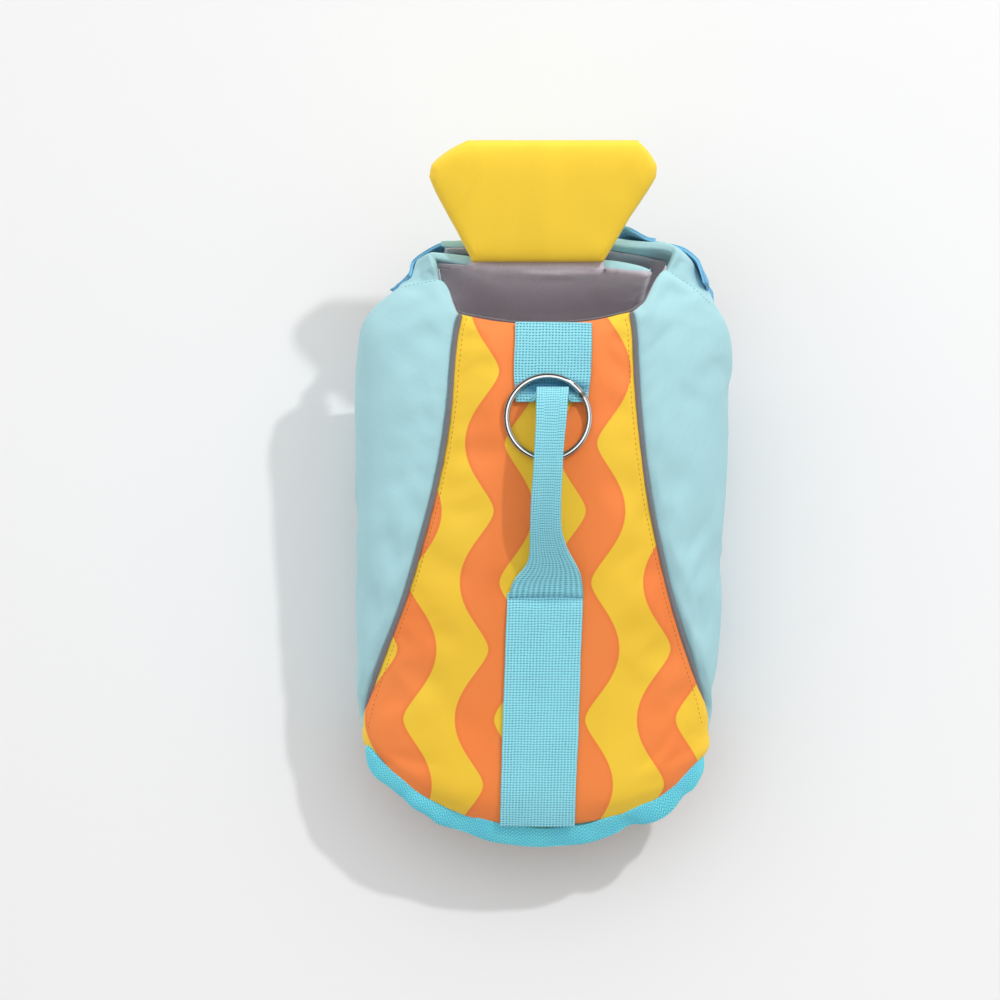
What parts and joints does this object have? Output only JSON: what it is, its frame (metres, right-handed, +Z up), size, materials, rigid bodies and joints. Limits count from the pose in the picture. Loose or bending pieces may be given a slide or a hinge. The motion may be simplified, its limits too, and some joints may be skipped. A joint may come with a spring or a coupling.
{
  "type": "dog life jacket",
  "caption": "Padded dog life jacket with wave-striped back, plain side panels, chin float, chest flaps, webbing lift handle and a steel leash ring, lying on its belly.",
  "frame": {"origin": "on the floor under the middle of the jacket's box, lying on its belly", "axes": "+Y from the tail hem to the neck and chin float, +X to the jacket's right side, +Z up"},
  "size_m": [0.1918, 0.3549, 0.1186],
  "materials": {
    "printed_cloth": "smooth matte cloth with yellow and orange waves",
    "side_cloth": "fine plain-weave matte cloth",
    "float_cloth": "smooth matte cloth",
    "webbing": "coarse woven webbing",
    "blue_webbing": "woven webbing",
    "lining": "soft slightly shiny nylon",
    "piping": "matte cloth over cord",
    "buckle_plastic": "moulded plastic",
    "ring_steel": "polished steel wire"
  },
  "bodies": {
    "jacket": {"back_panel": "printed_cloth", "side_panel_left": "side_cloth", "side_panel_right": "side_cloth", "belly_panel": "side_cloth", "piping_left": "piping", "piping_right": "piping", "neck_binding": "piping", "hem_binding": "webbing", "chest_flap": "side_cloth", "chest_flap_lining": "lining", "neck_strap": "side_cloth", "neck_strap_lining": "lining", "chest_strap": "blue_webbing", "chest_strap_end": "blue_webbing", "chest_buckle": "buckle_plastic", "belly_strap_front": "webbing", "belly_buckle_front": "buckle_plastic", "belly_strap_rear": "webbing", "belly_buckle_rear": "buckle_plastic", "chin_float": "float_cloth", "webbing_front": "webbing", "webbing_rear": "webbing", "handle": "webbing"},
    "ring": {"leash_ring": "ring_steel"}
  },
  "joints": [
    {"name": "ring_swing", "type": "hinge", "parent": "jacket", "child": "ring", "pos_m": [0.0018, 0.01913, 0.09774], "axis": [1, 0, 0], "range_deg": [0, 90]}
  ]
}
